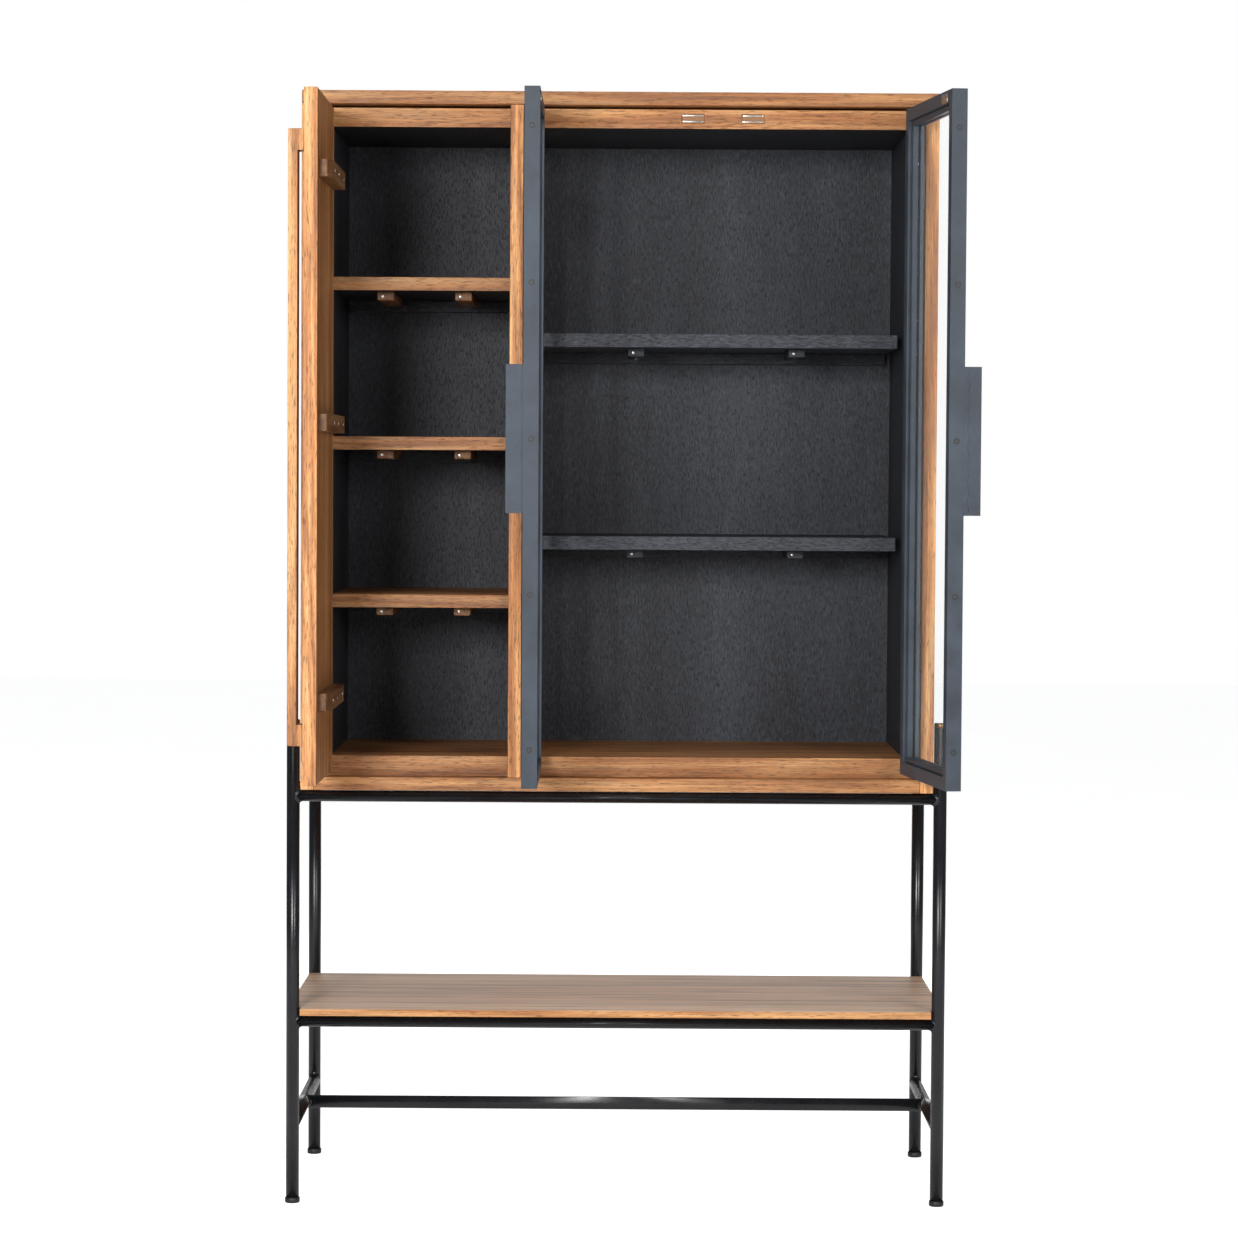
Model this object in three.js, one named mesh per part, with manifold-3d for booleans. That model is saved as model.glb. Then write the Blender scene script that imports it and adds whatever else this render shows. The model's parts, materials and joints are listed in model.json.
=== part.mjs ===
// Tall cabinet on a tube stand, doors standing open. Millimetres, +Z up, front towards -Y.
// The carcass is built about its own centre line; the last step moves the finished object so that
// its origin is the centre of the floor area it covers with the doors open.
import * as THREE from 'three';
import * as BufferGeometryUtils from 'three/addons/utils/BufferGeometryUtils.js';
import Module from 'manifold-3d';

const wasm = await Module();
wasm.setup();

// Running gap left between pieces that touch.
const GAP = 0.3;

// Tube stand.
const LEG_R = 11;
const RAIL_R = 9.5;
const STRETCHER_R = 11;
const TUBE_WALL = 2;
const LEG_X = 541;
const LEG_Y = 215;
const LEG_TOP_Z = 813;
const CAP_H = 8;
const GLIDE_R = 12.5;
const GLIDE_H = 9;
const SPIGOT_H = 14;
const TOP_RAIL_Z = 685;
const SHELF_RAIL_Z = 306;
const STRETCHER_Z = 132;
const ROUND_SIDES = 28;

// Lower shelf.
const LOWER_SHELF_T = 12;
const LOWER_SHELF_HALF_W = 550;
const LOWER_SHELF_TONGUE_HALF_W = 529;
const LOWER_SHELF_FRONT_Y = -225;

// Carcass.
const CARCASS_HALF_W = 529;
const FRONT_Y = -220;
const REAR_Y = 220;
const BOARD_T = 22;
const CARCASS_BOTTOM_Z = 695;
const CARCASS_TOP_Z = 1859;
const DIVIDER_LEFT_X = -182.5;
const DIVIDER_RIGHT_X = -161;
const INNER_FRONT_Y = -192;
const BACK_FRONT_Y = 177;
const BACK_T = 18;
const INNER_SIDE_X = 480;
const FLOOR_TOP_Z = 751;
const CEILING_BOTTOM_Z = 1801;
const CEILING_T = 32;

// Shelves.
const LEFT_SHELF_TOPS = [1552, 1286, 1022];
const LEFT_SHELF_T = 22.5;
const LEFT_SHELF_FRONT_Y = -190;
const RIGHT_SHELF_TOPS = [1463.5, 1120];
const RIGHT_SHELF_T = 23;
const RIGHT_SHELF_FRONT_Y = -107;
const RIGHT_SHELF_END_GAP = 9;

// Doors, drawn closed in a frame whose origin is the hinge axis.
const DOOR_GAP = 3;
const MEETING_GAP = 4;
const AXIS_FROM_SIDE = 4;
const AXIS_PROUD = 6;
const WOOD_DOOR_T = 22;
const WOOD_DOOR_BOTTOM_Z = 730;
const WOOD_DOOR_TOP_Z = 1829;
const GLASS_DOOR_T = 25;
const GLASS_DOOR_BOTTOM_Z = 728.5;
const GLASS_DOOR_TOP_Z = 1831.5;
const LEFT_OPEN_DEG = 90;
const MIDDLE_OPEN_DEG = 90;
const RIGHT_OPEN_DEG = 98;

// Wood door battens and handle.
const BATTEN_ZS = [1705, 1304, 861];
const BATTEN_H = 28;
const BATTEN_T = 21;
const BATTEN_TIP_T = 13;
const BATTEN_BEVEL = 30;
const BATTEN_FROM_HINGE = 30;
const BATTEN_FROM_FREE = 25;
const WOOD_HANDLE_W = 35;
const WOOD_HANDLE_BAR_T = 15;
const WOOD_HANDLE_PROUD = 24.4;
const WOOD_HANDLE_BOTTOM_Z = 793;
const WOOD_HANDLE_TOP_Z = 1764;
const WOOD_HANDLE_FOOT_H = 34;

// Glazed door frame, glass and steel handle.
const FRAME_FACE = 21;
const FRAME_LIP = 9;
const FRAME_LIP_T = 6;
const GLASS_T = 4;
const GLASS_EDGE_GAP = 0.5;
const STEEL_HANDLE_PROUD = 27;
const STEEL_HANDLE_T = 5;
const STEEL_HANDLE_H = 234;

// Butt hinges.
const HINGE_H = 75;
const HINGE_TOP_Z = 1705;
const HINGE_BOTTOM_Z = 861;
const KNUCKLE_R = 3.6;
const LEAF_T = 1.2;
const LEAF_DEPTH = 34;

// Magnetic catches in the ceiling board's front edge.
const CATCH_X = 170.5;
const CATCH_SPACING = 100;
const CATCH_W = 36;
const CATCH_H = 14;
const CATCH_DEPTH = 12;
const CATCH_PROUD = 1.5;
const CATCH_Z = 1818;

const BOTTOM_BOARD_TOP_Z = CARCASS_BOTTOM_Z + BOARD_T;
const TOP_BOARD_BOTTOM_Z = CARCASS_TOP_Z - BOARD_T;
const SIDE_INNER_X = CARCASS_HALF_W - BOARD_T;

const teak = { color: 0xb9793f, roughness: 0.55, metalness: 0 };
const blackWood = { color: 0x26282c, roughness: 0.6, metalness: 0 };
const blackSteel = { color: 0x1c1d20, roughness: 0.35, metalness: 0.6 };
const greySteel = { color: 0x5c646e, roughness: 0.45, metalness: 0.6 };
const brightSteel = { color: 0xb8b8b6, roughness: 0.3, metalness: 0.9 };
const bronze = { color: 0x7a6248, roughness: 0.3, metalness: 0.9 };
const glass = { color: 0xdfe8e6, roughness: 0.05, metalness: 0, transparent: true, opacity: 0.3 };
const blackPlastic = { color: 0x141414, roughness: 0.6, metalness: 0 };

const cabinet = new THREE.Group();

// Puts a named mesh with its own material into a group.
function addPiece(group, name, geometry, finish) {
  const mesh = new THREE.Mesh(geometry, new THREE.MeshStandardMaterial(finish));
  mesh.name = name;
  group.add(mesh);
  return mesh;
}

// A box between two corners.
function boxBetween(low, high) {
  const geometry = new THREE.BoxGeometry(high[0] - low[0], high[1] - low[1], high[2] - low[2]);
  geometry.translate((low[0] + high[0]) / 2, (low[1] + high[1]) / 2, (low[2] + high[2]) / 2);
  return geometry;
}

// A round bar from one point to another, axis along X, Y or Z.
function roundBar(radius, from, to) {
  const start = new THREE.Vector3(...from);
  const end = new THREE.Vector3(...to);
  const along = end.clone().sub(start);
  const geometry = new THREE.CylinderGeometry(radius, radius, along.length(), ROUND_SIDES);
  const turn = new THREE.Quaternion().setFromUnitVectors(
    new THREE.Vector3(0, 1, 0),
    along.clone().normalize(),
  );
  geometry.applyQuaternion(turn);
  const middle = start.add(end).multiplyScalar(0.5);
  geometry.translate(middle.x, middle.y, middle.z);
  return geometry;
}

// Turns a closed geometry into a manifold solid.
function toSolid(geometry) {
  const bare = geometry.clone();
  bare.deleteAttribute('normal');
  bare.deleteAttribute('uv');
  const merged = BufferGeometryUtils.mergeVertices(bare, 1e-4);
  return new wasm.Manifold(new wasm.Mesh({
    numProp: 3,
    vertProperties: new Float32Array(merged.attributes.position.array),
    triVerts: new Uint32Array(merged.index.array),
  }));
}

// Turns a manifold solid back into a geometry.
function toGeometry(solid) {
  const mesh = solid.getMesh();
  const geometry = new THREE.BufferGeometry();
  geometry.setAttribute('position', new THREE.BufferAttribute(mesh.vertProperties, mesh.numProp));
  geometry.setIndex(new THREE.BufferAttribute(mesh.triVerts, 1));
  geometry.computeVertexNormals();
  return geometry;
}

// A hollow tube whose ends are cut to the outlines of the bars it meets.
function copedTube(radius, from, to, cutters) {
  let solid = toSolid(roundBar(radius, from, to));
  const direction = new THREE.Vector3(...to).sub(new THREE.Vector3(...from)).normalize();
  const boreFrom = new THREE.Vector3(...from).sub(direction).toArray();
  const boreTo = new THREE.Vector3(...to).add(direction).toArray();
  solid = solid.subtract(toSolid(roundBar(radius - TUBE_WALL, boreFrom, boreTo)));
  for (const cutter of cutters) {
    solid = solid.subtract(toSolid(cutter));
  }
  return toGeometry(solid);
}

// The clearance cut that a leg makes in anything that meets it.
function legCutter(x, y) {
  return roundBar(LEG_R + GAP, [x, y, 0], [x, y, LEG_TOP_Z]);
}

// The four legs, each with a glide below and a cap on top.
function addLegs() {
  const boreR = LEG_R - TUBE_WALL;
  const spigotR = boreR - GAP;
  const bottom = GLIDE_H + GAP;
  const top = LEG_TOP_Z - CAP_H - GAP;
  for (const [sideName, sx] of [['left', -1], ['right', 1]]) {
    for (const [endName, sy] of [['front', -1], ['rear', 1]]) {
      const x = sx * LEG_X;
      const y = sy * LEG_Y;
      const tube = copedTube(LEG_R, [x, y, bottom], [x, y, top], []);
      addPiece(cabinet, `leg_${endName}_${sideName}`, tube, blackSteel);
      const glide = new THREE.LatheGeometry([
        new THREE.Vector2(0, 0),
        new THREE.Vector2(GLIDE_R - 1, 0),
        new THREE.Vector2(GLIDE_R, 1),
        new THREE.Vector2(GLIDE_R, GLIDE_H - 1),
        new THREE.Vector2(GLIDE_R - 1, GLIDE_H),
        new THREE.Vector2(spigotR, GLIDE_H),
        new THREE.Vector2(spigotR, GLIDE_H + SPIGOT_H),
        new THREE.Vector2(0, GLIDE_H + SPIGOT_H),
      ], ROUND_SIDES);
      glide.rotateX(Math.PI / 2);
      glide.translate(x, y, 0);
      addPiece(cabinet, `glide_${endName}_${sideName}`, glide, blackPlastic);
      const cap = new THREE.LatheGeometry([
        new THREE.Vector2(0, -SPIGOT_H),
        new THREE.Vector2(spigotR, -SPIGOT_H),
        new THREE.Vector2(spigotR, 0),
        new THREE.Vector2(LEG_R, 0),
        new THREE.Vector2(LEG_R, CAP_H - 1.5),
        new THREE.Vector2(LEG_R - 1.5, CAP_H),
        new THREE.Vector2(0, CAP_H),
      ], ROUND_SIDES);
      cap.rotateX(Math.PI / 2);
      cap.translate(x, y, LEG_TOP_Z - CAP_H);
      addPiece(cabinet, `leg_cap_${endName}_${sideName}`, cap, bronze);
    }
  }
}

// A rectangle of four rails between the legs at one height.
function addRailRing(ringName, z) {
  for (const [sideName, sx] of [['left', -1], ['right', 1]]) {
    const x = sx * LEG_X;
    const rail = copedTube(RAIL_R, [x, -LEG_Y, z], [x, LEG_Y, z], [
      legCutter(x, -LEG_Y),
      legCutter(x, LEG_Y),
    ]);
    addPiece(cabinet, `${ringName}_rail_${sideName}`, rail, blackSteel);
  }
  for (const [endName, sy] of [['front', -1], ['rear', 1]]) {
    const y = sy * LEG_Y;
    const cutters = [];
    for (const sx of [-1, 1]) {
      cutters.push(legCutter(sx * LEG_X, y));
      cutters.push(roundBar(RAIL_R + GAP, [sx * LEG_X, -LEG_Y, z], [sx * LEG_X, LEG_Y, z]));
    }
    const rail = copedTube(RAIL_R, [-LEG_X, y, z], [LEG_X, y, z], cutters);
    addPiece(cabinet, `${ringName}_rail_${endName}`, rail, blackSteel);
  }
}

// The H of stretchers near the floor.
function addStretchers() {
  for (const [sideName, sx] of [['left', -1], ['right', 1]]) {
    const x = sx * LEG_X;
    const side = copedTube(STRETCHER_R, [x, -LEG_Y, STRETCHER_Z], [x, LEG_Y, STRETCHER_Z], [
      legCutter(x, -LEG_Y),
      legCutter(x, LEG_Y),
    ]);
    addPiece(cabinet, `stretcher_${sideName}`, side, blackSteel);
  }
  const cutters = [-1, 1].map((sx) => roundBar(
    STRETCHER_R + GAP,
    [sx * LEG_X, -LEG_Y, STRETCHER_Z],
    [sx * LEG_X, LEG_Y, STRETCHER_Z],
  ));
  const centre = copedTube(STRETCHER_R, [-LEG_X, 0, STRETCHER_Z], [LEG_X, 0, STRETCHER_Z], cutters);
  addPiece(cabinet, 'stretcher_centre', centre, blackSteel);
}

// The lower shelf: full width between the legs, with a narrower tongue between the front legs.
function addLowerShelf() {
  const legClear = LEG_Y - LEG_R - 1;
  const outline = new THREE.Shape();
  outline.moveTo(-LOWER_SHELF_TONGUE_HALF_W, LOWER_SHELF_FRONT_Y);
  outline.lineTo(LOWER_SHELF_TONGUE_HALF_W, LOWER_SHELF_FRONT_Y);
  outline.lineTo(LOWER_SHELF_TONGUE_HALF_W, -legClear);
  outline.lineTo(LOWER_SHELF_HALF_W, -legClear);
  outline.lineTo(LOWER_SHELF_HALF_W, legClear);
  outline.lineTo(-LOWER_SHELF_HALF_W, legClear);
  outline.lineTo(-LOWER_SHELF_HALF_W, -legClear);
  outline.lineTo(-LOWER_SHELF_TONGUE_HALF_W, -legClear);
  outline.closePath();
  const geometry = new THREE.ExtrudeGeometry(outline, { depth: LOWER_SHELF_T, bevelEnabled: false });
  geometry.translate(0, 0, SHELF_RAIL_Z + RAIL_R + GAP);
  addPiece(cabinet, 'lower_shelf', geometry, teak);
}

// The catches' pockets are cut in the right ceiling board, and the catches sit in them.
function addCeilingAndCatches(rightLow, rightHigh) {
  let ceiling = toSolid(boxBetween(rightLow, rightHigh));
  for (const [name, sx] of [['left', -1], ['right', 1]]) {
    const x = CATCH_X + sx * CATCH_SPACING / 2;
    const low = [x - CATCH_W / 2, INNER_FRONT_Y - CATCH_PROUD, CATCH_Z - CATCH_H / 2];
    const high = [x + CATCH_W / 2, INNER_FRONT_Y + CATCH_DEPTH, CATCH_Z + CATCH_H / 2];
    const pocketLow = [low[0] - GAP, low[1] - 1, low[2] - GAP];
    const pocketHigh = [high[0] + GAP, high[1] + GAP, high[2] + GAP];
    ceiling = ceiling.subtract(toSolid(boxBetween(pocketLow, pocketHigh)));
    addPiece(cabinet, `magnetic_catch_${name}`, boxBetween(low, high), brightSteel);
  }
  addPiece(cabinet, 'ceiling_board_right', toGeometry(ceiling), teak);
}

// Outer boards, divider, back and the inner lining.
function addCarcass() {
  const innerX = SIDE_INNER_X - GAP;
  const insideBottom = BOTTOM_BOARD_TOP_Z + GAP;
  const insideTop = TOP_BOARD_BOTTOM_Z - GAP;
  const insideRear = BACK_FRONT_Y - GAP;
  addPiece(cabinet, 'top_board', boxBetween(
    [-CARCASS_HALF_W, FRONT_Y, TOP_BOARD_BOTTOM_Z],
    [CARCASS_HALF_W, REAR_Y, CARCASS_TOP_Z],
  ), teak);
  addPiece(cabinet, 'bottom_board', boxBetween(
    [-innerX, FRONT_Y, CARCASS_BOTTOM_Z],
    [innerX, REAR_Y, BOTTOM_BOARD_TOP_Z],
  ), teak);
  for (const [sideName, sx] of [['left', -1], ['right', 1]]) {
    const outer = sx * CARCASS_HALF_W;
    const inner = sx * SIDE_INNER_X;
    addPiece(cabinet, `side_board_${sideName}`, boxBetween(
      [Math.min(outer, inner), FRONT_Y, CARCASS_BOTTOM_Z],
      [Math.max(outer, inner), REAR_Y, insideTop],
    ), teak);
    const liningOuter = sx * innerX;
    const liningInner = sx * INNER_SIDE_X;
    addPiece(cabinet, `inner_side_${sideName}`, boxBetween(
      [Math.min(liningOuter, liningInner), INNER_FRONT_Y, FLOOR_TOP_Z + GAP],
      [Math.max(liningOuter, liningInner), insideRear, CEILING_BOTTOM_Z - GAP],
    ), blackWood);
  }
  addPiece(cabinet, 'divider', boxBetween(
    [DIVIDER_LEFT_X, FRONT_Y, insideBottom],
    [DIVIDER_RIGHT_X, insideRear, insideTop],
  ), teak);
  addPiece(cabinet, 'back_panel', boxBetween(
    [-innerX, BACK_FRONT_Y, insideBottom],
    [innerX, BACK_FRONT_Y + BACK_T, insideTop],
  ), blackWood);
  const ceilingTop = CEILING_BOTTOM_Z + CEILING_T;
  addPiece(cabinet, 'floor_board_left', boxBetween(
    [-innerX, INNER_FRONT_Y, insideBottom],
    [DIVIDER_LEFT_X - GAP, insideRear, FLOOR_TOP_Z],
  ), teak);
  addPiece(cabinet, 'floor_board_right', boxBetween(
    [DIVIDER_RIGHT_X + GAP, INNER_FRONT_Y, insideBottom],
    [innerX, insideRear, FLOOR_TOP_Z],
  ), teak);
  addPiece(cabinet, 'ceiling_board_left', boxBetween(
    [-innerX, INNER_FRONT_Y, CEILING_BOTTOM_Z],
    [DIVIDER_LEFT_X - GAP, insideRear, ceilingTop],
  ), teak);
  addCeilingAndCatches(
    [DIVIDER_RIGHT_X + GAP, INNER_FRONT_Y, CEILING_BOTTOM_Z],
    [innerX, insideRear, ceilingTop],
  );
}

// Three full-depth shelves on the left, two set-back shelves on the right.
function addShelves() {
  const rear = BACK_FRONT_Y - GAP;
  LEFT_SHELF_TOPS.forEach((top, index) => {
    addPiece(cabinet, `left_shelf_${index + 1}`, boxBetween(
      [-INNER_SIDE_X + GAP, LEFT_SHELF_FRONT_Y, top - LEFT_SHELF_T],
      [DIVIDER_LEFT_X - GAP, rear, top],
    ), teak);
  });
  RIGHT_SHELF_TOPS.forEach((top, index) => {
    addPiece(cabinet, `right_shelf_${index + 1}`, boxBetween(
      [DIVIDER_RIGHT_X + RIGHT_SHELF_END_GAP, RIGHT_SHELF_FRONT_Y, top - RIGHT_SHELF_T],
      [INNER_SIDE_X - RIGHT_SHELF_END_GAP, rear, top],
    ), blackWood);
  });
}

// The fixed half of a butt hinge: knuckle on the axis, leaf back along the board it is screwed to.
// side is -1 when the board is on the left of the axis, 1 when it is on the right.
function hingeGeometry(axisX, z, side) {
  const axisY = FRONT_Y - AXIS_PROUD;
  const knuckle = roundBar(KNUCKLE_R, [axisX, axisY, z - HINGE_H / 2], [axisX, axisY, z + HINGE_H / 2]);
  const leafOuter = axisX + side * (AXIS_FROM_SIDE - GAP);
  const leafInner = leafOuter - side * LEAF_T;
  const leaf = boxBetween(
    [Math.min(leafOuter, leafInner), axisY, z - HINGE_H / 2],
    [Math.max(leafOuter, leafInner), axisY + LEAF_DEPTH - AXIS_FROM_SIDE, z + HINGE_H / 2],
  );
  return toGeometry(toSolid(knuckle).add(toSolid(leaf)));
}

function addHinges(doorName, axisX, side) {
  addPiece(cabinet, `${doorName}_hinge_top`, hingeGeometry(axisX, HINGE_TOP_Z, side), brightSteel);
  addPiece(cabinet, `${doorName}_hinge_bottom`, hingeGeometry(axisX, HINGE_BOTTOM_Z, side), brightSteel);
}

// A door's group stands on its hinge axis and is turned to the angle at which the door is open.
function doorGroup(axisX, turnDeg) {
  const group = new THREE.Group();
  group.position.set(axisX, FRONT_Y - AXIS_PROUD, 0);
  group.rotation.z = THREE.MathUtils.degToRad(turnDeg);
  cabinet.add(group);
  return group;
}

// The wood door: panel, three battens on its inner face, long handle on its outer face.
function addWoodDoor() {
  const axisX = -SIDE_INNER_X + AXIS_FROM_SIDE;
  const door = doorGroup(axisX, -LEFT_OPEN_DEG);
  const hingeEdge = DOOR_GAP - AXIS_FROM_SIDE;
  const freeEdge = DIVIDER_LEFT_X - DOOR_GAP - axisX;
  const outerFace = AXIS_PROUD;
  const innerFace = AXIS_PROUD + WOOD_DOOR_T;
  addPiece(door, 'left_door_panel', boxBetween(
    [hingeEdge, outerFace, WOOD_DOOR_BOTTOM_Z],
    [freeEdge, innerFace, WOOD_DOOR_TOP_Z],
  ), teak);
  const battenStart = hingeEdge + BATTEN_FROM_HINGE;
  const battenEnd = freeEdge - BATTEN_FROM_FREE;
  const battenBase = innerFace + GAP;
  BATTEN_ZS.forEach((z, index) => {
    const outline = new THREE.Shape();
    outline.moveTo(battenStart, battenBase);
    outline.lineTo(battenEnd, battenBase);
    outline.lineTo(battenEnd, battenBase + BATTEN_TIP_T);
    outline.lineTo(battenEnd - BATTEN_BEVEL, battenBase + BATTEN_T);
    outline.lineTo(battenStart, battenBase + BATTEN_T);
    outline.closePath();
    const batten = new THREE.ExtrudeGeometry(outline, { depth: BATTEN_H, bevelEnabled: false });
    batten.translate(0, 0, z - BATTEN_H / 2);
    addPiece(door, `left_door_batten_${index + 1}`, batten, teak);
  });
  const barFront = outerFace - WOOD_HANDLE_PROUD;
  const barRear = barFront + WOOD_HANDLE_BAR_T;
  const footRear = outerFace - GAP;
  const low = WOOD_HANDLE_BOTTOM_Z;
  const high = WOOD_HANDLE_TOP_Z;
  const profile = new THREE.Shape();
  profile.moveTo(barFront, low);
  profile.lineTo(footRear, low);
  profile.lineTo(footRear, low + WOOD_HANDLE_FOOT_H);
  profile.lineTo(barRear, low + WOOD_HANDLE_FOOT_H);
  profile.lineTo(barRear, high - WOOD_HANDLE_FOOT_H);
  profile.lineTo(footRear, high - WOOD_HANDLE_FOOT_H);
  profile.lineTo(footRear, high);
  profile.lineTo(barFront, high);
  profile.closePath();
  const handle = new THREE.ExtrudeGeometry(profile, { depth: WOOD_HANDLE_W, bevelEnabled: false });
  handle.rotateY(Math.PI / 2);
  handle.rotateX(Math.PI / 2);
  handle.translate(freeEdge - WOOD_HANDLE_W, 0, 0);
  addPiece(door, 'left_door_handle', handle, teak);
  addHinges('left_door', axisX, -1);
}

// A glazed door: welded frame with a rebate, glass behind its lip, plate handle at the free edge.
// reach is 1 when the door runs towards +X from its hinge, -1 when it runs towards -X.
function addGlassDoor(name, axisX, reach, turnDeg, width) {
  const door = doorGroup(axisX, turnDeg);
  const hingeEdge = reach * (DOOR_GAP - AXIS_FROM_SIDE);
  const freeEdge = hingeEdge + reach * width;
  const left = Math.min(hingeEdge, freeEdge);
  const right = Math.max(hingeEdge, freeEdge);
  const outerFace = AXIS_PROUD;
  const innerFace = AXIS_PROUD + GLASS_DOOR_T;
  const bottom = GLASS_DOOR_BOTTOM_Z;
  const top = GLASS_DOOR_TOP_Z;
  const lip = FRAME_FACE + FRAME_LIP;
  const lipRear = outerFace + FRAME_LIP_T;
  const window = boxBetween(
    [left + lip, outerFace - 1, bottom + lip],
    [right - lip, innerFace + 1, top - lip],
  );
  const rebate = boxBetween(
    [left + FRAME_FACE, lipRear, bottom + FRAME_FACE],
    [right - FRAME_FACE, innerFace + 1, top - FRAME_FACE],
  );
  const blank = toSolid(boxBetween([left, outerFace, bottom], [right, innerFace, top]));
  const frame = blank.subtract(toSolid(window)).subtract(toSolid(rebate));
  addPiece(door, `${name}_frame`, toGeometry(frame), greySteel);
  const paneInset = FRAME_FACE + GLASS_EDGE_GAP;
  addPiece(door, `${name}_glass`, boxBetween(
    [left + paneInset, lipRear + GAP, bottom + paneInset],
    [right - paneInset, lipRear + GAP + GLASS_T, top - paneInset],
  ), glass);
  const plateInner = freeEdge - reach * STEEL_HANDLE_T;
  const middle = (bottom + top) / 2;
  addPiece(door, `${name}_handle`, boxBetween(
    [Math.min(plateInner, freeEdge), outerFace - STEEL_HANDLE_PROUD, middle - STEEL_HANDLE_H / 2],
    [Math.max(plateInner, freeEdge), outerFace - GAP, middle + STEEL_HANDLE_H / 2],
  ), greySteel);
  addHinges(name, axisX, -reach);
}

addLegs();
addRailRing('top', TOP_RAIL_Z);
addRailRing('shelf', SHELF_RAIL_Z);
addStretchers();
addLowerShelf();
addCarcass();
addShelves();
addWoodDoor();
const glassOpening = SIDE_INNER_X - DIVIDER_RIGHT_X;
const glassDoorWidth = (glassOpening - 2 * DOOR_GAP - MEETING_GAP) / 2;
addGlassDoor('middle_door', DIVIDER_RIGHT_X + AXIS_FROM_SIDE, 1, -MIDDLE_OPEN_DEG, glassDoorWidth);
addGlassDoor('right_door', SIDE_INNER_X - AXIS_FROM_SIDE, -1, RIGHT_OPEN_DEG, glassDoorWidth);

// The origin goes to the centre of the covered floor area.
cabinet.updateMatrixWorld(true);
const covered = new THREE.Box3().setFromObject(cabinet, true);
const centre = covered.getCenter(new THREE.Vector3());
cabinet.position.set(-centre.x, -centre.y, -covered.min.z);
cabinet.updateMatrixWorld(true);

export default cabinet;
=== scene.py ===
# Looks of the tall teak cabinet on its black tube stand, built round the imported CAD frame. Metres.
import json
import math

import bmesh
import bpy
from mathutils import Matrix, Vector


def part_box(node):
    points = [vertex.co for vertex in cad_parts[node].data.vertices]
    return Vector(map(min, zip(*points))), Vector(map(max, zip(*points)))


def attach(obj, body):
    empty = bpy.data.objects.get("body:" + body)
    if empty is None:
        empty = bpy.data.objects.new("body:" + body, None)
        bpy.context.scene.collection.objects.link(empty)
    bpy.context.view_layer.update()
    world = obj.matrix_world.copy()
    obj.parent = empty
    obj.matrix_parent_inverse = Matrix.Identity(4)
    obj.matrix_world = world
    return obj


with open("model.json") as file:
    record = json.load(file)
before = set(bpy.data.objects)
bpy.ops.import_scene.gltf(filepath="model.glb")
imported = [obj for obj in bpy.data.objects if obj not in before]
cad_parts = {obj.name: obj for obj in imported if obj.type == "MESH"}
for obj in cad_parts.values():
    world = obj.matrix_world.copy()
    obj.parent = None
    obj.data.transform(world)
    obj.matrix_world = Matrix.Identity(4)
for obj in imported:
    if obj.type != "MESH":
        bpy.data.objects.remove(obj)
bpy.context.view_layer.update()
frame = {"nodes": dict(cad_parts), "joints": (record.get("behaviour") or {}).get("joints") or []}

scene = bpy.context.scene
nodes = frame["nodes"]
MM = 0.001


# ---------------------------------------------------------------- materials


def linear(code):
    """A hex colour as linear RGBA."""
    parts = [int(code[i : i + 2], 16) / 255 for i in (0, 2, 4)]
    return [c / 12.92 if c <= 0.04045 else ((c + 0.055) / 1.055) ** 2.4 for c in parts] + [1.0]


class Shader:
    """A material with a Principled shader, and short calls that add nodes to it."""

    def __init__(self, name):
        self.material = bpy.data.materials.new(name)
        self.material.use_nodes = True
        self.tree = self.material.node_tree
        self.surface = self.tree.nodes["Principled BSDF"]

    def node(self, kind, inputs=(), **settings):
        made = self.tree.nodes.new(kind)
        for key, value in settings.items():
            setattr(made, key, value)
        for socket, value in dict(inputs).items():
            if isinstance(value, bpy.types.NodeSocket):
                self.tree.links.new(value, made.inputs[socket])
            else:
                made.inputs[socket].default_value = value
        return made

    def math(self, operation, *values, clamp=False):
        return self.node(
            "ShaderNodeMath", {i: v for i, v in enumerate(values)}, operation=operation, use_clamp=clamp
        ).outputs[0]

    def coordinates(self, scale=(1, 1, 1), offset=(0, 0, 0)):
        place = self.node("ShaderNodeTexCoord").outputs["Object"]
        return self.node(
            "ShaderNodeMapping", {"Vector": place, "Scale": scale, "Location": offset}
        ).outputs[0]

    def noise(self, vector, scale=1.0, detail=3.0, roughness=0.5, distortion=0.0):
        return self.node(
            "ShaderNodeTexNoise",
            {"Vector": vector, "Scale": scale, "Detail": detail, "Roughness": roughness, "Distortion": distortion},
        ).outputs["Fac"]

    def ramp(self, factor, stops):
        made = self.node("ShaderNodeValToRGB", {"Fac": factor})
        band = made.color_ramp
        while len(band.elements) < len(stops):
            band.elements.new(0.5)
        for element, (place, colour) in zip(band.elements, stops):
            element.position = place
            element.color = colour
        return made.outputs["Color"]

    def range(self, value, low, high, to_low, to_high):
        return self.node(
            "ShaderNodeMapRange",
            {"Value": value, "From Min": low, "From Max": high, "To Min": to_low, "To Max": to_high},
        ).outputs[0]

    def mix(self, factor, first, second, blend="MIX"):
        made = self.node("ShaderNodeMix", data_type="RGBA", blend_type=blend)
        for socket, value in ((0, factor), (6, first), (7, second)):
            if isinstance(value, bpy.types.NodeSocket):
                self.tree.links.new(value, made.inputs[socket])
            else:
                made.inputs[socket].default_value = value
        return made.outputs[2]

    def wire(self, socket, value):
        if isinstance(value, bpy.types.NodeSocket):
            self.tree.links.new(value, self.surface.inputs[socket])
        else:
            self.surface.inputs[socket].default_value = value

    def bump(self, height, strength, distance):
        made = self.node("ShaderNodeBump", {"Height": height, "Strength": strength, "Distance": distance})
        self.wire("Normal", made.outputs[0])


def along(axis, stretched, across):
    """A scale that is small along the grain and large across it."""
    return tuple(stretched if i == "XYZ".index(axis) else across for i in range(3))


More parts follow.
